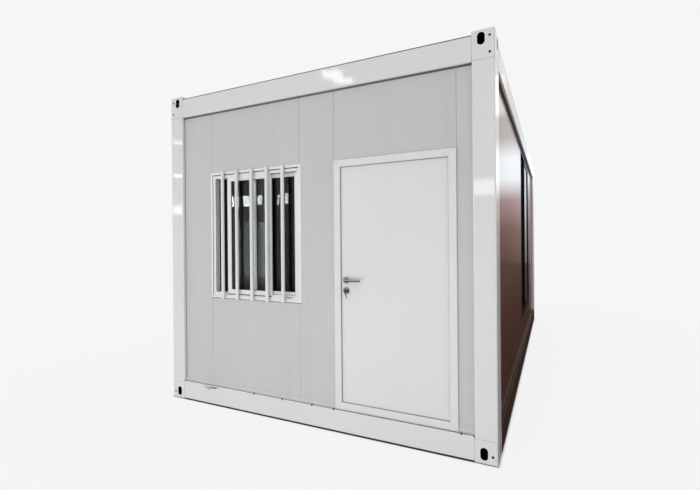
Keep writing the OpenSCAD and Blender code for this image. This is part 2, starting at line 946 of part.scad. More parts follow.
module door_roses() {
    color(steel) placed() {
        translate([0, leaf_v, 0]) rose_pair();
        translate([0, leaf_in, 0]) mirror([0, 1, 0]) rose_pair();
    }
}

module door_lock_plugs() {
    color(steel) placed() {
        rod_y(lever_x, lock_z, leaf_v - plug_out, leaf_v, plug_r);
        rod_y(lever_x, lock_z, leaf_in, leaf_in + plug_out, plug_r);
    }
}

// Key outline with its bow at the origin and its shank along +X
module key_2d(shank) {
    difference() {
        union() {
            circle(bow_r);
            translate([0, -shank_w / 2]) square([shank, shank_w]);
        }
        translate([-bow_r / 2, 0]) circle(bow_r / 4);
    }
}

// Key in the lock, and a second one hung on it
module door_keys() {
    plug_v = leaf_v - plug_out;
    bow_v = plug_v - shank_len - bow_r;
    color(brass) placed() {
        translate([lever_x - key_t / 2, bow_v, lock_z]) rotate([90, 0, 90])
            linear_extrude(key_t) key_2d(plug_v - bow_v);
        translate([lever_x + key_t / 2 - tiny, bow_v, lock_z - bow_r]) rotate([0, -hang_angle, 0])
            rotate([90, 0, 90]) linear_extrude(key_t) rotate(-90) key_2d(hang_len);
    }
}

// Height of the bottom of hinge k
function hinge_z(k) = leaf_z0 + hinge_end + k * hinge_step - hinge_h / 2;

module hinge_leaves() {
    low = (hinge_h + knuckle_gap) / 2;
    color(steel) placed() for (k = [0 : hinge_n - 1]) translate([0, 0, hinge_z(k)])
        difference() {
            union() {
                box([leaf_x1 - plate_w, leaf_in, low], [hinge_x, leaf_in + plate_t, hinge_h]);
                translate([hinge_x, hinge_v, low]) cylinder(r = knuckle_r, h = hinge_h - low);
            }
            translate([hinge_x, hinge_v, low - 1])
                cylinder(r = pin_r + pin_clear, h = hinge_h - low + 2);
        }
}

module hinge_butts() {
    high = (hinge_h - knuckle_gap) / 2;
    color(steel) placed() for (k = [0 : hinge_n - 1]) translate([0, 0, hinge_z(k)]) {
        box([hinge_x, leaf_in, 0], [leaf_x1 + door_clear + plate_w, leaf_in + plate_t, high]);
        translate([hinge_x, hinge_v, 0]) cylinder(r = knuckle_r, h = high);
        translate([hinge_x, hinge_v, 0]) cylinder(r = pin_r, h = hinge_h);
    }
}

// Lever arm with a bent neck, the leaf at depth 0 and the arm at -lever_out
module lever_arm() {
    translate([lever_bend, lever_bend - lever_out, 0]) rotate([0, 0, 180])
        rotate_extrude(angle = 90) translate([lever_bend, 0]) circle(neck_r);
    translate([lever_bend, -lever_out, 0]) rotate([0, 90, 0])
        cylinder(r = neck_r, h = lever_len - lever_bend - neck_r);
    translate([lever_len - neck_r, -lever_out, 0]) sphere(neck_r);
}

module door_lever() {
    color(steel) placed() {
        rod_y(lever_x, lever_z, leaf_v + lever_bend - lever_out, leaf_in + lever_out - lever_bend, neck_r);
        translate([lever_x, leaf_v, lever_z]) lever_arm();
        translate([lever_x, leaf_in, lever_z]) mirror([0, 1, 0]) lever_arm();
    }
}

top_front_castings();
top_back_castings();
base_front_castings();
base_back_castings();
front_posts();
back_posts();
roof_end_beams();
roof_side_beams();
base_end_beams();
base_side_beams();
floor_joists();
floor_deck();
ceiling_board();
roof_sheet();
corner_trims();
wall_foot_trims();
side_foot_trims();
front_panel_left();
front_panel_window();
front_panel_middle();
front_panel_over_door();
front_panel_right();
left_panels_odd();
left_panels_even();
back_panels_odd();
back_panels_even();
right_panels_odd();
right_panels_even();
window_frame();
window_sash_outer();
window_sash_inner();
window_panes();
window_bars();
side_window_frame();
side_sash_near();
side_sash_far();
side_panes();
side_window_pull();
door_frame();
door_leaf();
door_roses();
door_lock_plugs();
door_keys();
hinge_leaves();
hinge_butts();
door_lever();
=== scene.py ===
import json
import math
import random

import bmesh
import bpy
from mathutils import Matrix, Vector


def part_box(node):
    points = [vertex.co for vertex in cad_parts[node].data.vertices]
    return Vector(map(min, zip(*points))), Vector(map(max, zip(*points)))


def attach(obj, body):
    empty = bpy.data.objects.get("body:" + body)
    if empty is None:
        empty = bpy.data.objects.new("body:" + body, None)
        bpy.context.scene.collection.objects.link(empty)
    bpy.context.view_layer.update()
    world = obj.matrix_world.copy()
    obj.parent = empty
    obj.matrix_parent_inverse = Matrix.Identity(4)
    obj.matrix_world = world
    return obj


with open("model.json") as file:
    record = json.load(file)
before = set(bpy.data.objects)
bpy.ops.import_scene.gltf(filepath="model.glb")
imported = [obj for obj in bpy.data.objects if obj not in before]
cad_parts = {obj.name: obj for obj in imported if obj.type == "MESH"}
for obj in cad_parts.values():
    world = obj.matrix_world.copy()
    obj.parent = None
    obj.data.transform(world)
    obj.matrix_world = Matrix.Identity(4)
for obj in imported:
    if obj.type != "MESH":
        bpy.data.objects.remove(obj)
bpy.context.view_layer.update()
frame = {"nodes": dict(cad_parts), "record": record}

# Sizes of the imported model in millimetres, in its corner frame: X from the left, V from the front
UNIT_W, UNIT_L, UNIT_H = 2990, 6055, 2896
CAST_W, CAST_D = 150, 210
BASE_CAST_H, TOP_CAST_H = 160, 198
WALL_V = 30
WALL_TOP, BASE_TOP = UNIT_H - TOP_CAST_H, 176
BASE_LIFT = 7
ROOF_TOP, ROOF_BOTTOM = 2869, 2694
TRIM_V, TRIM_H = 26, 25
WINDOW = ((496, 1003), (1446, 2121))
WINDOW_LAP = 17
FLANGE_V = 26
SASH_STILE, SIDE_STILE = 46, 55
SASH_T, PANE_T = 18, 5
JAMB, GUIDE_RIB_H = 22, 16
GROOVE, GROOVE_D = (5, 13), 6
HEAD_RIB_Z = WINDOW[1][1] - JAMB - GUIDE_RIB_H
DOOR = ((1775, BASE_TOP), (2731, 2135))
DOOR_FACE, DOOR_LAP, DOOR_V = 57, 12, 14
LEAF_V, LEAF_IN = 30, 80
LEAF_X1 = DOOR[1][0] - DOOR_FACE + DOOR_LAP
LEAF_Z0, LEAF_Z1 = DOOR[0][1] + DOOR_FACE - DOOR_LAP, DOOR[1][1] - DOOR_FACE + DOOR_LAP
HINGE_N, HINGE_H, HINGE_END, PLATE_T = 3, 100, 180, 3
LEVER_X, LOCK_Z = 1875, 1111
PLUG_OUT, SHANK_OUT = 12, 8
SEAM_N, SEAM_RIB_W, SEAM_RISE = 11, 24, 23
BOLT_IN, BOLT_RISES, BOLT_R = 32, (57, 2739, 2849), 7


def front(x, v, z):
    """Row-frame point of a corner-frame point."""
    return Vector(((x - UNIT_W / 2) / 1000, (v - UNIT_L / 2) / 1000, z / 1000))


def right(y, v, z):
    """Row-frame point on the right wall, y along the wall and v inwards from its face."""
    return front(UNIT_W - v, y, z)


def corner_frame(point):
    """Corner-frame millimetres of a row-frame point."""
    return (point[0] * 1000 + UNIT_W / 2, point[1] * 1000 + UNIT_L / 2, point[2] * 1000)


# Camera

IMAGE_W, IMAGE_H = 700, 490
FOCAL_PX = 418.587
CENTRE_PX = (343.65, 242.62)
CAMERA_AT = (1.8256, -5.9337, 1.4884)
CAMERA_YAW, CAMERA_PITCH, CAMERA_ROLL = -0.4633, -0.0011, -0.0085
SENSOR_MM = 36.0
CLIP_END = 200


def add_camera():
    """Camera fitted to the frame edges in the photograph."""
    level = math.cos(CAMERA_PITCH)
    ahead = Vector((math.sin(CAMERA_YAW) * level, math.cos(CAMERA_YAW) * level, math.sin(CAMERA_PITCH)))
    across = Vector((math.cos(CAMERA_YAW), -math.sin(CAMERA_YAW), 0))
    above = across.cross(ahead)
    cos_roll, sin_roll = math.cos(CAMERA_ROLL), math.sin(CAMERA_ROLL)
    axis_x = across * cos_roll + above * sin_roll
    axis_y = above * cos_roll - across * sin_roll
    data = bpy.data.cameras.new("camera")
    data.sensor_width = SENSOR_MM
    data.lens = FOCAL_PX / IMAGE_W * SENSOR_MM
    data.shift_x = (IMAGE_W / 2 - CENTRE_PX[0]) / IMAGE_W
    data.shift_y = (CENTRE_PX[1] - IMAGE_H / 2) / IMAGE_W
    data.clip_end = CLIP_END
    camera = bpy.data.objects.new("camera", data)
    turn = Matrix((axis_x, axis_y, -ahead)).transposed().to_4x4()
    camera.matrix_world = Matrix.Translation(CAMERA_AT) @ turn
    bpy.context.scene.collection.objects.link(camera)
    bpy.context.scene.camera = camera


# Materials

class Paint:
    """A material round one Principled shader, with short calls for the nodes used here."""

    def __init__(self, name, **constants):
        self.material = bpy.data.materials.new(name)
        self.material.use_nodes = True
        self.tree = self.material.node_tree
        self.shader = self.tree.nodes["Principled BSDF"]
        for key, value in constants.items():
            self.shader.inputs[key.replace("_", " ")].default_value = value
        self.place = self.node("ShaderNodeTexCoord").outputs["Object"]

    def node(self, kind, inputs=(), **settings):
        """New node whose inputs are linked from sockets or set to values."""
        made = self.tree.nodes.new(kind)
        for key, value in settings.items():
            setattr(made, key, value)
        for key, value in dict(inputs).items():
            if isinstance(value, bpy.types.NodeSocket):
                self.tree.links.new(value, made.inputs[key])
            else:
                made.inputs[key].default_value = value
        return made

    def math(self, operation, one, two=0.0):
        """Result of one operation on two values."""
        return self.node("ShaderNodeMath", {0: one, 1: two}, operation=operation).outputs[0]

    def stretched(self, scale):
        """Object coordinates scaled along each axis."""
        return self.node("ShaderNodeMapping", {"Vector": self.place, "Scale": scale}).outputs[0]

    def noise(self, scale, detail=2.0, stretch=None):
        """Noise from 0 to 1, drawn out along the axes with a small stretch."""
        vector = self.stretched(stretch) if stretch else self.place
        made = self.node("ShaderNodeTexNoise", {"Vector": vector, "Scale": scale, "Detail": detail})
        return made.outputs[0]

    def cells(self, scale):
        """One random colour per cell."""
        return self.node("ShaderNodeTexVoronoi", {"Vector": self.place, "Scale": scale}).outputs["Color"]

    def remap(self, value, from_low, from_high, low, high):
        """Value carried from one range to another, held at its ends."""
        return self.node("ShaderNodeMapRange", {
            "Value": value, "From Min": from_low, "From Max": from_high, "To Min": low, "To Max": high,
        }).outputs[0]

    def mix(self, factor, one, two):
        """Colour between two others."""
        return self.node("ShaderNodeMix", {0: factor, 6: one, 7: two}, data_type="RGBA").outputs[2]

    def axis(self, name):
        """One of the object coordinates."""
        return self.node("ShaderNodeSeparateXYZ", {0: self.place}).outputs[name]

    def link(self, socket, key):
        """Feeds an input of the shader."""
        self.tree.links.new(socket, self.shader.inputs[key])

    def bump(self, layers, edge):
        """Rounds sharp edges by edge metres and adds (height, strength, depth) layers on top."""
        normal = self.node("ShaderNodeBevel", {"Radius": edge}, samples=4).outputs[0]
        for height, strength, depth in layers:
            normal = self.node("ShaderNodeBump", {
                "Height": height, "Strength": strength, "Distance": depth, "Normal": normal,
            }).outputs[0]
        self.link(normal, "Normal")


def rgba(colour):
    """Colour with full alpha."""
    return (*colour, 1.0)


def shade(colour, factor):
    """Colour made darker or lighter, within white."""
    return tuple(min(1.0, channel * factor) for channel in colour)


def painted(name, colour, gloss, smear=0.05, spread=0.03, streak=0.02, grain=(700, 0.00012), waves=0.0008,
            edge=0.0025, **constants):
    """Painted sheet: tone drift, upright streaks, grain and faint oil-canning."""
    paint = Paint(name, **constants)
    drift = paint.remap(paint.noise(1.3, 3.0), 0.3, 0.7, 0.0, 1.0)
    tone = paint.mix(drift, rgba(shade(colour, 1 - spread)), rgba(shade(colour, 1 + spread)))
    runs = paint.remap(paint.noise(9.0, 3.0, (1, 1, 0.06)), 0.5, 0.75, 0.0, streak * 8)
    tone = paint.mix(runs, tone, rgba(shade(colour, 0.86)))
    paint.link(tone, "Base Color")
    paint.link(paint.remap(paint.noise(5.0, 4.0), 0.3, 0.7, gloss - smear, gloss + smear), "Roughness")
    scale, depth = grain
    paint.bump([
        (paint.noise(1.9, 1.0), 0.35, waves * 8),
        (paint.noise(scale, 1.0), 0.4, depth),
    ], edge)
    return paint


def casting_paint(name, colour, gloss):
    """Frame paint with near-black painted shade on the inside of the hollow castings."""
    paint = painted(name, colour, gloss, spread=0.01)
    outside = paint.shader.inputs["Base Color"].links[0].from_socket
    skin = 0.0022
    half_x, half_y = CAST_W / 2000 - skin, CAST_D / 2000 - skin
    in_x = paint.math("SUBTRACT", paint.math("ABSOLUTE", paint.axis("X")), UNIT_W / 2000 - CAST_W / 2000)
    in_y = paint.math("SUBTRACT", paint.math("ABSOLUTE", paint.axis("Y")), UNIT_L / 2000 - CAST_D / 2000)
    inside = paint.math("MULTIPLY",
                        paint.math("LESS_THAN", paint.math("ABSOLUTE", in_x), half_x),
                        paint.math("LESS_THAN", paint.math("ABSOLUTE", in_y), half_y))
    level = paint.axis("Z")
    bands = []
    for low, high in ((0, BASE_CAST_H), (WALL_TOP, UNIT_H)):
        off = paint.math("ABSOLUTE", paint.math("SUBTRACT", level, (low + high) / 2000))
        bands.append(paint.math("LESS_THAN", off, (high - low) / 2000 - skin))
    inside = paint.math("MULTIPLY", inside, paint.math("MAXIMUM", *bands))
    # Painted shade: inside the hollow castings the paint turns near black, where their hollows lie in shade.
    painted_shade = paint.mix(paint.noise(30.0, 3.0), (0.006, 0.006, 0.007, 1), (0.014, 0.013, 0.013, 1))
    paint.link(paint.mix(inside, outside, painted_shade), "Base Color")
    return paint


def metal(name, colour, gloss, brush, **constants):
    """Bare metal with fine brushing, worn patches and painted shade on its underside."""
    paint = Paint(name, Metallic=1.0, **constants)
    lines = paint.noise(60.0, 4.0, brush)
    tone = paint.mix(lines, rgba(shade(colour, 0.72)), rgba(shade(colour, 1.16)))
    # Painted shade: faces turned downwards are darkened to near black.
    facing = paint.node("ShaderNodeTexCoord").outputs["Normal"]
    level = paint.node("ShaderNodeSeparateXYZ", {0: facing}).outputs["Z"]
    tone = paint.mix(paint.remap(level, 0.15, -0.35, 0.0, 1.0), tone, rgba(shade(colour, 0.12)))
    paint.link(paint.mix(paint.remap(paint.noise(35.0, 3.0), 0.55, 0.8, 0.0, 0.5), tone,
                         rgba(shade(colour, 0.5))), "Base Color")
    paint.link(paint.remap(lines, 0.2, 0.8, gloss - 0.06, gloss + 0.1), "Roughness")
    paint.bump([(lines, 0.25, 0.00015)], 0.0006)
    return paint


def galvanised(name, colour):
    """Zinc-coated sheet with crystal spangle, dull patches and white bloom."""
    paint = Paint(name, Metallic=0.75)
    crystal = paint.node("ShaderNodeSeparateColor", {0: paint.cells(55.0)}).outputs[0]
    tone = paint.mix(crystal, rgba(shade(colour, 0.78)), rgba(shade(colour, 1.12)))
    bloom = paint.remap(paint.noise(2.6, 6.0), 0.52, 0.72, 0.0, 0.55)
    paint.link(paint.mix(bloom, tone, (0.62, 0.62, 0.6, 1)), "Base Color")
    paint.link(paint.remap(crystal, 0.0, 1.0, 0.34, 0.52), "Roughness")
    paint.bump([(paint.noise(3.0, 1.0), 0.3, 0.006), (crystal, 0.15, 0.0002)], 0.001)
    return paint


def boards(name, colour):
    """Floor covering printed as wood planks along the room."""
    paint = Paint(name)
    grain = paint.noise(14.0, 6.0, (5, 0.35, 1))
    tone = paint.mix(grain, rgba(shade(colour, 0.6)), rgba(shade(colour, 1.25)))
    plank = paint.math("FRACT", paint.math("MULTIPLY", paint.axis("X"), 6.6))
    gap = paint.math("LESS_THAN", plank, 0.018)
    paint.link(paint.mix(gap, tone, rgba(shade(colour, 0.25))), "Base Color")
    paint.link(paint.remap(grain, 0.2, 0.8, 0.42, 0.58), "Roughness")
    paint.bump([(grain, 0.3, 0.0006), (paint.math("SUBTRACT", 1.0, gap), 0.5, 0.0008)], 0.001)
    return paint


def glazing(name, colour, **constants):
    """Tinted glass with faint smears."""
    paint = Paint(name, Transmission_Weight=1.0, **constants)
    smear = paint.remap(paint.noise(3.0, 5.0, (1, 1, 0.35)), 0.5, 0.8, 0.0, 1.0)
    paint.link(paint.mix(smear, rgba(colour), rgba(shade(colour, 1.15))), "Base Color")
    paint.link(paint.remap(smear, 0.0, 1.0, 0.003, 0.012), "Roughness")
    return paint


def rubber(name, colour):
    """Dull moulded rubber or sealant with a fine dusty grain."""
    paint = Paint(name, Specular_IOR_Level=0.3)
    grain = paint.noise(240.0, 3.0)
    paint.link(paint.mix(grain, rgba(shade(colour, 0.7)), rgba(shade(colour, 1.3))), "Base Color")
    paint.link(paint.remap(grain, 0.2, 0.8, 0.55, 0.75), "Roughness")
    paint.bump([(grain, 0.3, 0.0002)], 0.0005)
    return paint


def film(name):
    """Thin protective film, milky and creased."""
    paint = Paint(name, Transmission_Weight=0.35, IOR=1.3)
    crease = paint.noise(90.0, 4.0, (1, 1, 2.5))
    paint.link(paint.mix(crease, (0.55, 0.56, 0.58, 1), (0.86, 0.87, 0.88, 1)), "Base Color")
    paint.link(paint.remap(crease, 0.2, 0.8, 0.12, 0.35), "Roughness")
    paint.bump([(crease, 0.5, 0.001)], 0.0003)
    return paint


FRAME_WHITE = (0.690, 0.692, 0.700)
PAINTS = {
    "frame_paint": painted("frame_paint", FRAME_WHITE, 0.045, smear=0.015, spread=0.01, streak=0.01,
                           grain=(700, 0.00003), waves=0.0001),
    "casting_paint": casting_paint("casting_paint", FRAME_WHITE, 0.12),
    "panel_grey": painted("panel_grey", (0.546, 0.546, 0.534), 0.5, spread=0.02, streak=0.03,
                          grain=(330, 0.0003), waves=0.0003, Specular_IOR_Level=0.3),
    # Long sides: dark brown paint, which also stands in for the deep shade along that side.
    "panel_brown": painted("panel_brown", (0.062, 0.022, 0.012), 0.4, spread=0.05, streak=0.03,
                           grain=(330, 0.0002), waves=0.0005, Specular_IOR_Level=0.0,
                           Coat_Weight=1.0, Coat_Roughness=0.12),
    "beam_brown": painted("beam_brown", (0.05, 0.023, 0.016), 0.5, spread=0.12, streak=0.05,
                          grain=(330, 0.0002), Specular_IOR_Level=0.05),
    "trim_brown": painted("trim_brown", (0.10, 0.05, 0.035), 0.5, spread=0.12, streak=0.05,
                          grain=(330, 0.0002), Specular_IOR_Level=0.05),
    "trim_white": painted("trim_white", (0.70, 0.70, 0.69), 0.36),
    "foot_trim": painted("foot_trim", (0.60, 0.61, 0.585), 0.42, streak=0.04),
    "window_white": painted("window_white", (0.74, 0.755, 0.75), 0.26, grain=(900, 0.00005), waves=0.0002,
                            edge=0.0015),
    "bar_white": painted("bar_white", (0.74, 0.75, 0.745), 0.3, spread=0.04, streak=0.05, waves=0.0001,
                         edge=0.001),
    "glass": glazing("glass", (0.84, 0.87, 0.88), IOR=1.2),
    "side_glass": glazing("side_glass", (0.16, 0.18, 0.21), IOR=1.45),
    "window_black": painted("window_black", (0.007, 0.007, 0.008), 0.22, spread=0.2, grain=(1500, 0.0001),
                            waves=0.0002, edge=0.0015, Specular_IOR_Level=0.008),
    "door_white": painted("door_white", (0.69, 0.70, 0.708), 0.36, spread=0.015, grain=(900, 0.0001),
                          waves=0.0004, edge=0.002),
    "brushed_steel": metal("brushed_steel", (0.38, 0.37, 0.33), 0.28, (0.12, 1, 1)),
    "key_brass": metal("key_brass", (0.16, 0.10, 0.065), 0.36, (0.2, 1, 1)),
    "galvanised": galvanised("galvanised", (0.5, 0.52, 0.53)),
    "floor_board": boards("floor_board", (0.22, 0.19, 0.15)),
    "ceiling_white": painted("ceiling_white", (0.7, 0.7, 0.69), 0.45, grain=(400, 0.0002)),
    "rubber": rubber("rubber", (0.012, 0.012, 0.013)),
    "seal_grey": rubber("seal_grey", (0.15, 0.148, 0.142)),
    "seal_brown": rubber("seal_brown", (0.06, 0.045, 0.044)),
    "joint_grey": rubber("joint_grey", (0.44, 0.44, 0.43)),
    "sealant": rubber("sealant", (0.30, 0.30, 0.295)),
    "ledge_grey": rubber("ledge_grey", (0.23, 0.225, 0.215)),
    "film": film("film"),
}
# The side base beams and foot trims, pale at the front, get dark brown here, partly as painted shade of that
# side.
OWN_PAINT = {
    "side_panes": "side_glass", "wall_foot_trims": "foot_trim",
    "base_side_beams": "beam_brown", "side_foot_trims": "trim_brown",
}


def dress_nodes():
    """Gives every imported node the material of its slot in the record, or one of its own."""
    for row in frame["record"]["subparts"]:
        kind = OWN_PAINT.get(row["node"], row["material_slot"])
        if row["node"].endswith("castings"):
            kind = "casting_paint"
        mesh = frame["nodes"][row["node"]].data
        mesh.materials.clear()
        mesh.materials.append(PAINTS[kind].material)


# Small fittings

def piece(name, bm, paint, body="cabin", smooth=True):
    """Turns built mesh into a piece that rides on a body."""
    bmesh.ops.recalc_face_normals(bm, faces=bm.faces)
    mesh = bpy.data.meshes.new(name)
    bm.to_mesh(mesh)
    bm.free()
    mesh.polygons.foreach_set("use_smooth", [smooth] * len(mesh.polygons))
    mesh.materials.append(PAINTS[paint].material)
    made = bpy.data.objects.new(name, mesh)
    bpy.context.scene.collection.objects.link(made)
    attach(made, body)


def join_loops(bm, loops, closed=True):
    """Quads between neighbouring loops, and from the last to the first where closed."""
    count = len(loops[0])
    for one, two in zip(loops, loops[1:] + loops[:1] if closed else loops[1:]):
        for k in range(count):
            bm.faces.new((one[k], one[(k + 1) % count], two[(k + 1) % count], two[k]))


def ring(bm, low, high, outline, place=front):
    """Mitred ring between two corners from an outline of (inward, depth) points."""
    loops = []
    for inward, v in outline:
        x0, z0, x1, z1 = low[0] + inward, low[1] + inward, high[0] - inward, high[1] - inward
        loops.append([bm.verts.new(place(x, v, z)) for x, z in ((x0, z0), (x1, z0), (x1, z1), (x0, z1))])
    join_loops(bm, loops)


def swept(bm, start, end, across, out, outline):
    """Strip from start to end with an outline of (across, out) points in metres."""
    across, out = Vector(across), Vector(out)
    ends = [[bm.verts.new(at + across * a + out * b) for a, b in outline] for at in (start, end)]
    join_loops(bm, ends, closed=False)
    for loop in ends:
        bm.faces.new(loop)


def bead(bm, start, end, out, width, height):
    """Half-round bead from start to end, standing out along a unit vector, sizes in metres."""
    across = (end - start).normalized().cross(Vector(out))
    angles = [k * math.pi / 4 for k in range(5)]
    arc = [(math.cos(angle) * width / 2, math.sin(angle) * height) for angle in angles]
    swept(bm, start, end, across, out, arc)


def fillet(bm, start, end, across, out, size):
    """Hollow-faced corner strip between two faces, its legs along two unit vectors, size in metres."""
    angles = [k * math.pi / 8 for k in range(5)]
    arc = [(size * (1 - math.sin(angle)), size * (1 - math.cos(angle))) for angle in angles]
    swept(bm, start, end, across, out, [(0, 0)] + arc)


def lathe(bm, at, out, profile, sides, hollow=False):
    """Turned solid, or hollow ring, from (radius, height) points in millimetres along a unit vector."""
    turn = Vector((0, 0, 1)).rotation_difference(Vector(out)).to_matrix()
    loops = []
    for radius, height in profile:
        loop = []
        for k in range(sides):
            angle = 2 * math.pi * k / sides
            local = Vector((radius * math.cos(angle), radius * math.sin(angle), height)) / 1000
            loop.append(bm.verts.new(at + turn @ local))
        loops.append(loop)
    join_loops(bm, loops, closed=hollow)
    if not hollow:
        bm.faces.new(loops[0])
        bm.faces.new(loops[-1])


def screw(bm, at, out, radius):
    """Hex head screw on a domed washer."""
    lathe(bm, at, out, [(radius, 0), (radius, 0.25 * radius), (0.75 * radius, 0.4 * radius)], 16)
    lathe(bm, at, out, [(0.58 * radius, 0.3 * radius), (0.58 * radius, 0.85 * radius),
                        (0.45 * radius, 0.95 * radius)], 6)


def pan_screw(bm, at, out, radius):
    """Pan head screw with a recessed drive."""
    lathe(bm, at, out, [(radius, 0), (0.95 * radius, 0.2 * radius), (0.62 * radius, 0.36 * radius),
                        (0.4 * radius, 0.36 * radius), (0.34 * radius, 0.12 * radius)], 14)


FORWARD, BACKWARD = (0, -1, 0), (0, 1, 0)
LEFT, RIGHT = (-1, 0, 0), (1, 0, 0)
UPWARD, DOWNWARD = (0, 0, 1), (0, 0, -1)


def gasket(bm, low, high, face_v, stile, place):
    """Two rubber lips where a pane enters its sash."""
    lip, deep, tuck = 3.0, 2.5, 0.5
    pane_0, pane_1 = face_v + (SASH_T - PANE_T) / 2, face_v + (SASH_T + PANE_T) / 2
    for glass_v, out_v in ((pane_0, pane_0 - deep), (pane_1, pane_1 + deep)):
        ring(bm, low, high, [(stile - tuck, glass_v), (stile + lip, glass_v),
                             (stile + lip * 0.6, out_v), (stile - tuck, out_v)], place)


def add_window_rubber():
    """Glazing gaskets on both faces of all four sashes, from the sashes' own boxes."""
    bm = bmesh.new()
    for node in ("window_sash_outer", "window_sash_inner"):
        low, high = (corner_frame(p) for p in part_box(node))
        gasket(bm, (low[0], low[2]), (high[0], high[2]), low[1], SASH_STILE, front)
    piece("window_gaskets", bm, "rubber", smooth=False)
    bm = bmesh.new()
    for node in ("side_sash_near", "side_sash_far"):
        low, high = (corner_frame(p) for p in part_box(node))
        gasket(bm, (low[1], low[2]), (high[1], high[2]), UNIT_W - high[0], SIDE_STILE, right)
    piece("side_window_gaskets", bm, "rubber", smooth=False)


def add_door_seal():
    """Bulb seal in the rebate of the door frame, in front of the leaf's edge."""
    near_v, widest_v, back_v = DOOR_V + 11.2, DOOR_V + 13.5, LEAF_V - 0.6
    inner = DOOR_FACE - 6
    bm = bmesh.new()
    ring(bm, *DOOR, [(inner, near_v), (inner + 7, near_v), (inner + 9, widest_v),
                     (inner + 7, back_v), (inner + 1, back_v), (inner - 1, widest_v)])
    piece("door_seal", bm, "seal_grey", smooth=False)


def add_joint_lines():
    """Paint-filled joints between castings, posts and beams."""
    width, height = 0.0022, 0.0006
    bm = bmesh.new()
    for side in (0, 1):
        x_out, x_in = (UNIT_W, UNIT_W - CAST_W) if side else (0, CAST_W)
        for z in (BASE_CAST_H, WALL_TOP):
            bead(bm, front(x_out, 0, z), front(x_in, 0, z), FORWARD, width, height)
            bead(bm, front(x_out, UNIT_L, z), front(x_in, UNIT_L, z), BACKWARD, width, height)
            out = RIGHT if side else LEFT
            for v0, v1 in ((0, CAST_D), (UNIT_L - CAST_D, UNIT_L)):
                bead(bm, front(x_out, v0, z), front(x_out, v1, z), out, width, height)
        for z0, z1 in ((BASE_LIFT, BASE_CAST_H), (WALL_TOP, ROOF_TOP)):
            bead(bm, front(x_in, 0, z0), front(x_in, 0, z1), FORWARD, width, height)
            bead(bm, front(x_in, UNIT_L, z0), front(x_in, UNIT_L, z1), BACKWARD, width, height)
            for v in (CAST_D, UNIT_L - CAST_D):
                bead(bm, front(x_out, v, z0), front(x_out, v, z1), out, width, height)
    piece("frame_joints", bm, "sealant")


def add_wall_seals():
    """Sealant at head and sides of all walls, at the foot of the long ones in brown; partly painted shade of
    those recesses.
    """
    head, post, foot = 0.011, 0.003, 0.005
    ends, sides = bmesh.new(), bmesh.new()
    x0, x1, y0, y1 = CAST_W, UNIT_W - CAST_W, CAST_D, UNIT_L - CAST_D
    for v, out in ((WALL_V, FORWARD), (UNIT_L - WALL_V, BACKWARD)):
        fillet(ends, front(x0, v, ROOF_BOTTOM), front(x1, v, ROOF_BOTTOM), DOWNWARD, out, head)
        for x, across in ((x0, RIGHT), (x1, LEFT)):
            fillet(ends, front(x, v, BASE_TOP), front(x, v, ROOF_BOTTOM), across, out, post)
    for x, out in ((WALL_V, LEFT), (UNIT_W - WALL_V, RIGHT)):
        fillet(sides, front(x, y0, ROOF_BOTTOM), front(x, y1, ROOF_BOTTOM), DOWNWARD, out, head)
        for y, across in ((y0, BACKWARD), (y1, FORWARD)):
            fillet(sides, front(x, y, BASE_TOP), front(x, y, ROOF_BOTTOM), across, out, post)
    for x, out in ((TRIM_V, LEFT), (UNIT_W - TRIM_V, RIGHT)):
        fillet(sides, front(x, y0, BASE_TOP), front(x, y1, BASE_TOP), UPWARD, out, foot)
    # Dark grey and brown sealant, its darkness also painting the shade in the recesses round the walls.
    piece("wall_seals_and_shade", ends, "seal_grey")
    piece("side_wall_seals", sides, "seal_brown")


def add_ledge_seals():
    """Bead along the outer edge of both base end beams, and the filled corners at the bead's ends."""
    outline = [(0.0025, -0.002), (0.003, 0.001), (0.0045, 0.0022), (0.0075, 0.0022), (0.0095, 0)]
    corner, skin, depth = 0.013, 1.5, 12
    x0, x1 = CAST_W, UNIT_W - CAST_W
    beads, corners = bmesh.new(), bmesh.new()
    for v, inward, step in ((0, BACKWARD, 1), (UNIT_L, FORWARD, -1)):
        swept(beads, front(x0, v, BASE_TOP), front(x1, v, BASE_TOP), inward, UPWARD, outline)
        for x, across in ((x0, RIGHT), (x1, LEFT)):
            start, end = front(x, v + step * skin, BASE_TOP), front(x, v + step * depth, BASE_TOP)
            fillet(corners, start, end, across, DOWNWARD, corner)
    piece("ledge_beads", beads, "ledge_grey")
    piece("ledge_corners", corners, "rubber")


def add_panel_joints():
    """Sealant in the seams of the front wall, a little below the panel faces."""
    half, depth, bed_v = 0.0014, 0.0016, WALL_V + 2
    (wx0, wz0), (wx1, wz1) = WINDOW
    over_window, over_door = (wz1 + WINDOW_LAP, ROOF_BOTTOM), (DOOR[1][1], ROOF_BOTTOM)
    under_window = (BASE_TOP + TRIM_H, wz0 - WINDOW_LAP)
    bm = bmesh.new()
    for x, (z0, z1) in ((wx0, under_window), (wx0, over_window), (wx1, under_window), (wx1, over_window),
                        (DOOR[0][0], over_door), (DOOR[1][0], over_door)):
        swept(bm, front(x, bed_v, z0), front(x, bed_v, z1), RIGHT, FORWARD,
              [(-half, 0), (-half, depth * 0.8), (0, depth), (half, depth * 0.8), (half, 0)])
    piece("panel_joints", bm, "joint_grey")


def beam_runs():
    """Start, end and inward direction of each beam's outer face, between the castings."""
    x0, x1, y0, y1 = CAST_W, UNIT_W - CAST_W, CAST_D, UNIT_L - CAST_D
    return (((x0, 0), (x1, 0), BACKWARD), ((x0, UNIT_L), (x1, UNIT_L), FORWARD),
            ((0, y0), (0, y1), RIGHT), ((UNIT_W, y0), (UNIT_W, y1), LEFT))


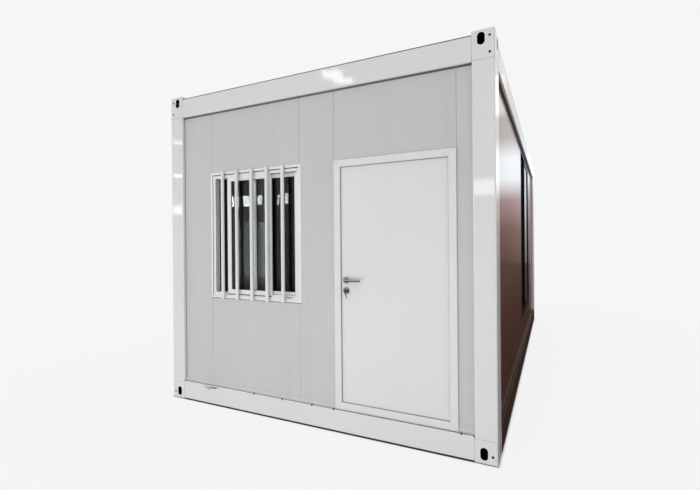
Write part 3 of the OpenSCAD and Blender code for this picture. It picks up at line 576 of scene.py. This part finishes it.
def add_roof_seals():
    """Sealing strip along the top edge of the roof beams, its dark grey partly painted shade of that edge.
    """
    outline = [(0.002, 0), (0.003, 0.0045), (0.006, 0.006), (0.009, 0.0045), (0.01, 0)]
    bm = bmesh.new()
    for start, end, inward in beam_runs():
        swept(bm, front(*start, ROOF_TOP), front(*end, ROOF_TOP), inward, UPWARD, outline)
    # Dark strip partly painting the shade along the top edge of the roof beams.
    piece("roof_seals_and_shade", bm, "seal_grey")


def add_base_seals():
    """Foam strips under the base beams, squeezed out a little past their faces, black also as painted
    contact shadow.
    """
    outline = [(-0.004, 0.0005), (-0.003, 0.003), (0.001, 0.0065), (0.02, 0.0065), (0.024, 0.0005)]
    bm = bmesh.new()
    for start, end, inward in beam_runs():
        swept(bm, front(*start, 0), front(*end, 0), inward, UPWARD, outline)
    # Black strips that partly paint the contact shadow under the base beams.
    piece("base_seals_and_shadow", bm, "rubber", smooth=False)


def add_window_seals():
    """Front window: black seals at the outer sash's foot and over the inner one, partly painted shade; below
    the flange, painted shadow.
    """
    sash_seal, flange_seal, end_gap = 0.006, 0.0035, 4
    strip = [(0, 0), (0, 0.003), (0.004, 0.003), (0.006, 0.0015), (0.006, 0)]
    (x0, z0), (x1, _) = WINDOW
    under, reach = z0 - WINDOW_LAP, WINDOW_LAP - end_gap
    low, high = (corner_frame(p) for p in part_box("window_sash_outer"))
    bm = bmesh.new()
    fillet(bm, front(low[0], WALL_V, low[2]), front(high[0], WALL_V, low[2]), UPWARD, FORWARD, sash_seal)
    swept(bm, front(high[0], WALL_V, HEAD_RIB_Z), front(x1 - JAMB, WALL_V, HEAD_RIB_Z),
          DOWNWARD, BACKWARD, strip)
    fillet(bm, front(x0 - reach, WALL_V, under), front(x1 + reach, WALL_V, under),
           DOWNWARD, FORWARD, flange_seal)
    # Black rubber that partly paints the shade lines of the window, and the shadow below its flange.
    piece("window_seals_and_shade", bm, "rubber", smooth=False)


def add_flange_seal():
    """Strips in the groove of the window flange: black at head and left as painted shade, window white at
    sill and right.
    """
    (x0, z0), (x1, z1) = WINDOW
    near, far = GROOVE
    wide = (far - near) / 1000
    outline = [(0, 0), (0, 0.0035), (0.0012, 0.0046), (wide - 0.0012, 0.0046), (wide, 0.0035), (wide, 0)]
    floor_v = FLANGE_V + GROOVE_D
    dark, pale = bmesh.new(), bmesh.new()
    runs = (
        (dark, (x0 + near, z1 - far), (x1 - near, z1 - far), UPWARD),
        (dark, (x0 + near, z0 + far), (x0 + near, z1 - far), RIGHT),
        (pale, (x0 + near, z0 + near), (x1 - near, z0 + near), UPWARD),
        (pale, (x1 - far, z0 + far), (x1 - far, z1 - far), RIGHT),
    )
    for bm, (start_x, start_z), (end_x, end_z), across in runs:
        start, end = front(start_x, floor_v, start_z), front(end_x, floor_v, end_z)
        swept(bm, start, end, across, FORWARD, outline)
    # The black strips are painted shade along the head and left side of the flange groove.
    piece("flange_seal_painted_shade", dark, "rubber", smooth=False)
    piece("flange_seal_pale", pale, "window_white", smooth=False)


def add_foot_beads():
    """Rubber beads round the foot of the base castings, black as painted contact shadow."""
    rise, width, height = 2, 0.004, 0.0015
    bm = bmesh.new()
    for v, out in ((0, FORWARD), (UNIT_L, BACKWARD)):
        for x0, x1 in ((0, CAST_W), (UNIT_W - CAST_W, UNIT_W)):
            bead(bm, front(x0, v, rise), front(x1, v, rise), out, width, height)
    for x, out in ((0, LEFT), (UNIT_W, RIGHT)):
        for v0, v1 in ((0, CAST_D), (UNIT_L - CAST_D, UNIT_L)):
            bead(bm, front(x, v0, rise), front(x, v1, rise), out, width, height)
    # Painted contact shadow round the feet of the base castings.
    piece("foot_shadow_beads", bm, "rubber")


def add_grommets():
    """Rubber grommets round the bolt holes of the castings."""
    profile = [(BOLT_R, 0), (BOLT_R + 1.8, 0), (BOLT_R + 1.6, 0.8), (BOLT_R + 0.3, 0.8)]
    bm = bmesh.new()
    for v, out in ((0, FORWARD), (UNIT_L, BACKWARD)):
        for x in (BOLT_IN, UNIT_W - BOLT_IN):
            for z in BOLT_RISES:
                lathe(bm, front(x, v, z), out, profile, 24, hollow=True)
    piece("bolt_grommets", bm, "rubber", smooth=False)


def add_mitre_lines():
    """Fine mitre joints at the corners of the door and window frames."""
    spread, height, inset = 0.0008, 0.0003, 3
    bm = bmesh.new()
    for (low, high), lap, face, v in ((DOOR, 0, DOOR_FACE, DOOR_V), (WINDOW, WINDOW_LAP, JAMB, FLANGE_V)):
        start, end = inset - lap, face - inset
        for x, z, dx, dz in ((low[0], low[1], 1, 1), (high[0], low[1], -1, 1),
                             (high[0], high[1], -1, -1), (low[0], high[1], 1, -1)):
            outer = front(x + dx * start, v, z + dz * start)
            inner = front(x + dx * end, v, z + dz * end)
            bead(bm, outer, inner, FORWARD, spread, height)
    piece("mitre_joints", bm, "sealant")


def add_ledge_clips():
    """Rubber clips hooked over the front edge of the base beam."""
    clips_x, half = (982, 1277, 1568, 1767, 2753), 5
    hook = [(-0.0006, -0.009), (-0.0006, 0.0015), (0.003, 0.0045), (0.011, 0.0045), (0.011, 0.0003),
            (0.0045, -0.0009), (0.0012, -0.0048), (0.0003, -0.009)]
    bm = bmesh.new()
    for x in clips_x:
        swept(bm, front(x - half, 0, BASE_TOP), front(x + half, 0, BASE_TOP), BACKWARD, UPWARD, hook)
    piece("ledge_clips", bm, "rubber", smooth=False)


def add_trim_screws():
    """Screws through the foot trims of the long walls and the back wall."""
    rise, radius, pitch, back_n, side_n = BASE_TOP + 6, 5.5, 300, 8, 18
    bm = bmesh.new()
    for k in range(1, back_n + 1):
        screw(bm, front(CAST_W + k * pitch, UNIT_L - TRIM_V, rise), BACKWARD, radius)
    for k in range(1, side_n + 1):
        y = CAST_D + k * pitch
        screw(bm, front(TRIM_V, y, rise), LEFT, radius)
        screw(bm, front(UNIT_W - TRIM_V, y, rise), RIGHT, radius)
    piece("trim_screws", bm, "rubber", smooth=False)


def add_roof_screws():
    """Screws with washers beside every standing seam of the roof sheet."""
    per_seam, margin, beside, radius = 9, 80, 38, 8
    low, high = (corner_frame(p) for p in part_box("roof_sheet"))
    sheet_z = high[2] - SEAM_RISE
    first = CAST_D + 3 * SEAM_RIB_W
    step = (UNIT_L - 2 * first) / (SEAM_N - 1)
    pitch = (high[0] - low[0] - 2 * margin) / (per_seam - 1)
    bm = bmesh.new()
    for seam in range(SEAM_N):
        y = first + seam * step + beside
        for k in range(per_seam):
            screw(bm, front(low[0] + margin + k * pitch, y, sheet_z), UPWARD, radius)
    piece("roof_screws", bm, "galvanised", smooth=False)


def add_hinge_screws():
    """Pan head screws in both plates of each hinge, on the inside of the door."""
    radius, rises, face_v = 4.2, (12, 38), LEAF_IN + PLATE_T
    step = (LEAF_Z1 - LEAF_Z0 - 2 * HINGE_END) / (HINGE_N - 1)
    plates = (
        ("hinge_leaf_screws", "door", (-28, -14), HINGE_H / 2),
        ("hinge_butt_screws", "cabin", (20, 34), 0),
    )
    for name, body, offsets, lift in plates:
        bm = bmesh.new()
        for k in range(HINGE_N):
            foot = LEAF_Z0 + HINGE_END + k * step - HINGE_H / 2 + lift
            for offset in offsets:
                for rise in rises:
                    pan_screw(bm, front(LEAF_X1 + offset, face_v, foot + rise), BACKWARD, radius)
        piece(name, bm, "brushed_steel", body, smooth=False)


def add_key_ring():
    """Wire ring through the bows of the two keys."""
    ring_r, wire_r, skew, steps, sides = 9.5, 0.9, 2.2, 28, 8
    aside, beyond, drop = 3, 14, 10
    centre = front(LEVER_X + aside, LEAF_V - PLUG_OUT - SHANK_OUT - beyond, LOCK_Z - drop)
    bm = bmesh.new()
    loops = []
    for k in range(steps):
        around = 2 * math.pi * k / steps
        loop = []
        for j in range(sides):
            section = 2 * math.pi * j / sides
            reach = ring_r + wire_r * math.cos(section)
            across = wire_r * math.sin(section) + skew * math.sin(around)
            local = Vector((across, reach * math.cos(around), reach * math.sin(around)))
            loop.append(bm.verts.new(centre + local / 1000))
        loops.append(loop)
    join_loops(bm, loops)
    piece("key_ring", bm, "brushed_steel", "door")


def ribbon(bm, path, width, lift, seed):
    """Creased strip of film along a path of corner-frame points, curling away from the front face."""
    columns, gap, crease, jitter, thickness = 5, 0.3, 0.8, 1, 0.0003
    rng = random.Random(seed)
    rows = []
    for k, (x, v, z) in enumerate(path):
        taper = math.sin(math.pi * (k + 0.35) / (len(path) - 0.3))
        row = []
        for j in range(columns):
            t = j / (columns - 1) - 0.5
            curl = lift * taper * (t + 0.5) ** 2 + rng.uniform(0, crease)
            shift = rng.uniform(-jitter, jitter)
            row.append(bm.verts.new(front(x + shift, v - gap - curl, z + t * width * taper)))
        rows.append(row)
    for one, two in zip(rows, rows[1:]):
        for j in range(columns - 1):
            bm.faces.new((one[j], one[j + 1], two[j + 1], two[j]))
    bmesh.ops.solidify(bm, geom=bm.faces[:], thickness=thickness)


def add_film():
    """Torn protective film on the front base beam and a scrap of it on the window sill."""
    left_x, left_z, left_step, fall = 403, 166, 10.5, 3.8
    right_x, right_z, right_step, sag, sag_turn = 468, 165, 9.5, 7, 0.29
    sill_x, sill_z, sill_step, ripple = 1303, 1026, 9, 4
    torn_left = [(left_x + left_step * k, 0, left_z - fall * k) for k in range(9)]
    torn_right = [(right_x + right_step * k, 0, right_z - sag * math.sin(k * sag_turn)) for k in range(12)]
    scrap = [(sill_x + sill_step * k, FLANGE_V, sill_z + ripple * math.sin(k)) for k in range(10)]
    scraps = (
        ("film_torn_left", torn_left, 17, 15, 3),
        ("film_torn_right", torn_right, 16, 11, 5),
        ("film_scrap_sill", scrap, 9, 5, 8),
    )
    for name, path, width, lift, seed in scraps:
        bm = bmesh.new()
        ribbon(bm, path, width, lift, seed)
        piece(name, bm, "film")


# Studio

BACKGROUND = (0.92, 0.92, 0.92, 1)
LIGHT_WORLD = 0.86
FLOOR_REACH = 60


def seen_ray(tree):
    """1 for rays that show the background: camera, glossy and transmission rays."""
    path = tree.nodes.new("ShaderNodeLightPath")
    total = path.outputs["Is Camera Ray"]
    for name in ("Is Glossy Ray", "Is Transmission Ray"):
        most = tree.nodes.new("ShaderNodeMath")
        most.operation = "MAXIMUM"
        tree.links.new(total, most.inputs[0])
        tree.links.new(path.outputs[name], most.inputs[1])
        total = most.outputs[0]
    return total


def add_world():
    """Even light from all round, and the pale background for rays that show it."""
    world = bpy.data.worlds.new("studio")
    bpy.context.scene.world = world
    world.use_nodes = True
    tree = world.node_tree
    tree.nodes.clear()
    seen = seen_ray(tree)
    mix = tree.nodes.new("ShaderNodeMixShader")
    tree.links.new(seen, mix.inputs[0])
    for slot, colour, strength in ((1, (1, 1, 1, 1), LIGHT_WORLD), (2, BACKGROUND, 1.0)):
        back = tree.nodes.new("ShaderNodeBackground")
        back.inputs["Color"].default_value = colour
        back.inputs["Strength"].default_value = strength
        tree.links.new(back.outputs[0], mix.inputs[slot])
    out = tree.nodes.new("ShaderNodeOutputWorld")
    tree.links.new(mix.outputs[0], out.inputs[0])


def flat_object(name, corners, paint):
    """Object of one flat face."""
    bm = bmesh.new()
    bm.faces.new([bm.verts.new(corner) for corner in corners])
    mesh = bpy.data.meshes.new(name)
    bm.to_mesh(mesh)
    bm.free()
    mesh.materials.append(paint.material)
    made = bpy.data.objects.new(name, mesh)
    bpy.context.scene.collection.objects.link(made)
    return made


def add_floor():
    """Pale floor that keeps the object's shadow and fades into the background."""
    paint = Paint("floor_pale", Roughness=0.9, Specular_IOR_Level=0.0)
    paint.link(paint.mix(paint.noise(4.0, 3.0), (0.79, 0.79, 0.79, 1), (0.81, 0.81, 0.81, 1)), "Base Color")
    glow = paint.node("ShaderNodeEmission", {"Color": BACKGROUND, "Strength": 1.0})
    squares = []
    for axis, size in (("X", UNIT_W), ("Y", UNIT_L)):
        off = paint.math("SUBTRACT", paint.math("ABSOLUTE", paint.axis(axis)), size / 2000)
        squares.append(paint.math("POWER", paint.math("MAXIMUM", off), 2.0))
    away = paint.math("SQRT", paint.math("ADD", *squares))
    contact = paint.remap(away, 0.0, 0.02, 0.0, 1.0)
    fade = paint.remap(away, 0.2, 3.0, 0.95, 1.0)
    white = paint.math("MULTIPLY", seen_ray(paint.tree), paint.math("MULTIPLY", contact, fade))
    mix = paint.node("ShaderNodeMixShader", {0: white, 1: paint.shader.outputs[0], 2: glow.outputs[0]})
    paint.tree.links.new(mix.outputs[0], paint.tree.nodes["Material Output"].inputs[0])
    r = FLOOR_REACH
    floor = flat_object("floor", [(-r, -r, 0), (r, -r, 0), (r, r, 0), (-r, r, 0)], paint)


def card(name, corners, along, stops):
    """Board seen only in reflections, its glow graded along one axis by (place, colour, level) stops."""
    paint = Paint(name)
    gain, low, high = 2.0, stops[0][0], stops[-1][0]
    ramp = paint.node("ShaderNodeValToRGB", {0: paint.remap(paint.axis(along), low, high, 0.0, 1.0)})
    elements = ramp.color_ramp.elements
    while len(elements) < len(stops):
        elements.new(0.5)
    for element, (place, colour, level) in zip(elements, stops):
        element.position = (place - low) / (high - low)
        element.color = rgba(shade(colour, level / gain))
    glow = paint.node("ShaderNodeEmission", {"Color": ramp.outputs[0], "Strength": gain})
    paint.tree.links.new(glow.outputs[0], paint.tree.nodes["Material Output"].inputs[0])
    paint.material.cycles.emission_sampling = "NONE"
    board = flat_object(name, corners, paint)
    for ray in ("camera", "diffuse", "transmission", "volume_scatter", "shadow"):
        setattr(board, "visible_" + ray, False)


COOL, WARM, TINT = (0.93, 0.97, 1.0), (1.0, 0.93, 0.9), (0.75, 0.88, 1.0)
MAUVE, BROWN, RUST, BLUE = (1.0, 0.7, 0.72), (1.0, 0.64, 0.56), (1.0, 0.58, 0.46), (0.78, 0.86, 1.0)
CARD_Y, CARD_H = 25, 13


def tall_card(name, x0, x1, stops):
    """Upright card behind the object, graded by height."""
    corners = [(x0, CARD_Y, 0), (x1, CARD_Y, 0), (x1, CARD_Y, CARD_H), (x0, CARD_Y, CARD_H)]
    card(name, corners, "Z", stops)


def add_cards():
    """What the gloss of the right wall mirrors: tall cards behind with a bright band, and a dark low one."""
    banded = [
        (0, BROWN, 0.16), (2.4, BROWN, 0.3), (4.3, MAUVE, 0.62), (5.7, COOL, 1.6), (7.2, COOL, 1.68),
        (8.6, WARM, 0.84), (10.0, WARM, 0.84)]
    plain_top = [(CARD_H, WARM, 0.84)]
    bright_top = [(10.2, WARM, 1.2), (10.5, WARM, 1.6), (CARD_H, WARM, 1.6)]
    far_x, window_x, end_x, near_x, edge_x = 1.6, 2.6, 2.98, 4.1, 9
    tall_card("card_near", near_x, edge_x, banded + bright_top)
    tall_card("card_end", end_x, near_x, banded + plain_top)
    tall_card("card_window", window_x, end_x, [
        (0, WARM, 0.2), (2.4, WARM, 0.48), (4.5, BLUE, 1.05), (6.5, BLUE, 1.05), (CARD_H, BLUE, 1.05)])
    tall_card("card_far", far_x, window_x, banded + plain_top)
    level, start = 0.003, UNIT_W / 2000 + 0.002
    low_corners = [(start, -CARD_Y, level), (edge_x, -CARD_Y, level),
                   (edge_x, CARD_Y, level), (start, CARD_Y, level)]
    card("card_low", low_corners, "X", [
        (start, RUST, 0.03), (1.58, RUST, 0.05), (1.82, RUST, 0.068), (2.08, RUST, 0.088), (3, BROWN, 0.13),
        (edge_x, BROWN, 0.15)])


LAMP_Y = -12
WINDOW_LAMPS = ((-8.56, 0.26), (-8.10, 0.34), (-7.50, 0.19), (-6.69, 0.07), (-6.31, 0.17))
POST_LAMPS = ((5.47, 0.05, 16), (4.16, 0.06, 20), (2.82, 0.36, 6))
ROOF_LAMPS = ((-4.48, 6.88, 0.62, 0.24), (-4.08, 6.6, 0.62, 0.16))


def softbox(name, at, aim, size, radiance, colour=(1, 1, 1), lights=True, mirrored=True):
    """Rectangular lamp of a given radiance, unseen by the camera; it lights, is mirrored, or both."""
    data = bpy.data.lights.new(name, "AREA")
    data.shape = "RECTANGLE"
    data.size, data.size_y = size
    data.energy = radiance * math.pi * size[0] * size[1]
    data.color = colour
    lamp = bpy.data.objects.new(name, data)
    lamp.location = at
    lamp.rotation_euler = (Vector(aim) - Vector(at)).to_track_quat("-Z", "Y").to_euler()
    lamp.visible_camera = False
    lamp.visible_diffuse = lights
    lamp.visible_glossy = mirrored
    bpy.context.scene.collection.objects.link(lamp)


def add_lamps():
    """Key from the upper left, a low fill, and lamps that only show as reflections in paint and glass."""
    wall = (0, -3, 1.5)
    softbox("key", (-17, -37, 15), wall, (6.0, 4.0), 5.0, mirrored=False)
    softbox("low_fill", (-0.3, -6.2, 0.25), (0, -3, 0.6), (5.0, 0.4), 4.6, mirrored=False)
    for k, (x, width) in enumerate(WINDOW_LAMPS):
        softbox(f"window_lamp_{k}", (x, LAMP_Y, 3.0), wall, (width, 0.35), 64.0, lights=False)
    softbox("window_haze", (-7.82, LAMP_Y, 1.25), wall, (1.08, 2.0), 3.0, COOL, lights=False)
    softbox("window_tint", (-7.4, LAMP_Y, 2.0), wall, (3.2, 4.0), 0.8, TINT, lights=False)
    for k, (z, height, radiance) in enumerate(POST_LAMPS):
        softbox(f"post_lamp_{k}", (-11.4, LAMP_Y, z), wall, (0.4, height), radiance, lights=False)
    softbox("post_band", (0.14, LAMP_Y, 2.96), wall, (0.7, 0.41), 5.5, COOL, lights=False)
    for k, (x, z, width, height) in enumerate(ROOF_LAMPS):
        softbox(f"roof_lamp_{k}", (x, LAMP_Y, z), wall, (width, height), 9.0, WARM, lights=False)
    softbox("door_glow", (-3.49, LAMP_Y, 2.89), wall, (1.2, 0.75), 3.0, COOL, lights=False)


add_camera()
dress_nodes()
add_window_rubber()
add_door_seal()
add_joint_lines()
add_wall_seals()
add_ledge_seals()
add_panel_joints()
add_roof_seals()
add_window_seals()
add_flange_seal()
add_base_seals()
add_foot_beads()
add_grommets()
add_mitre_lines()
add_ledge_clips()
add_trim_screws()
add_roof_screws()
add_hinge_screws()
add_key_ring()
add_film()
add_world()
add_floor()
add_lamps()
add_cards()
bpy.context.scene.view_settings.view_transform = "Standard"
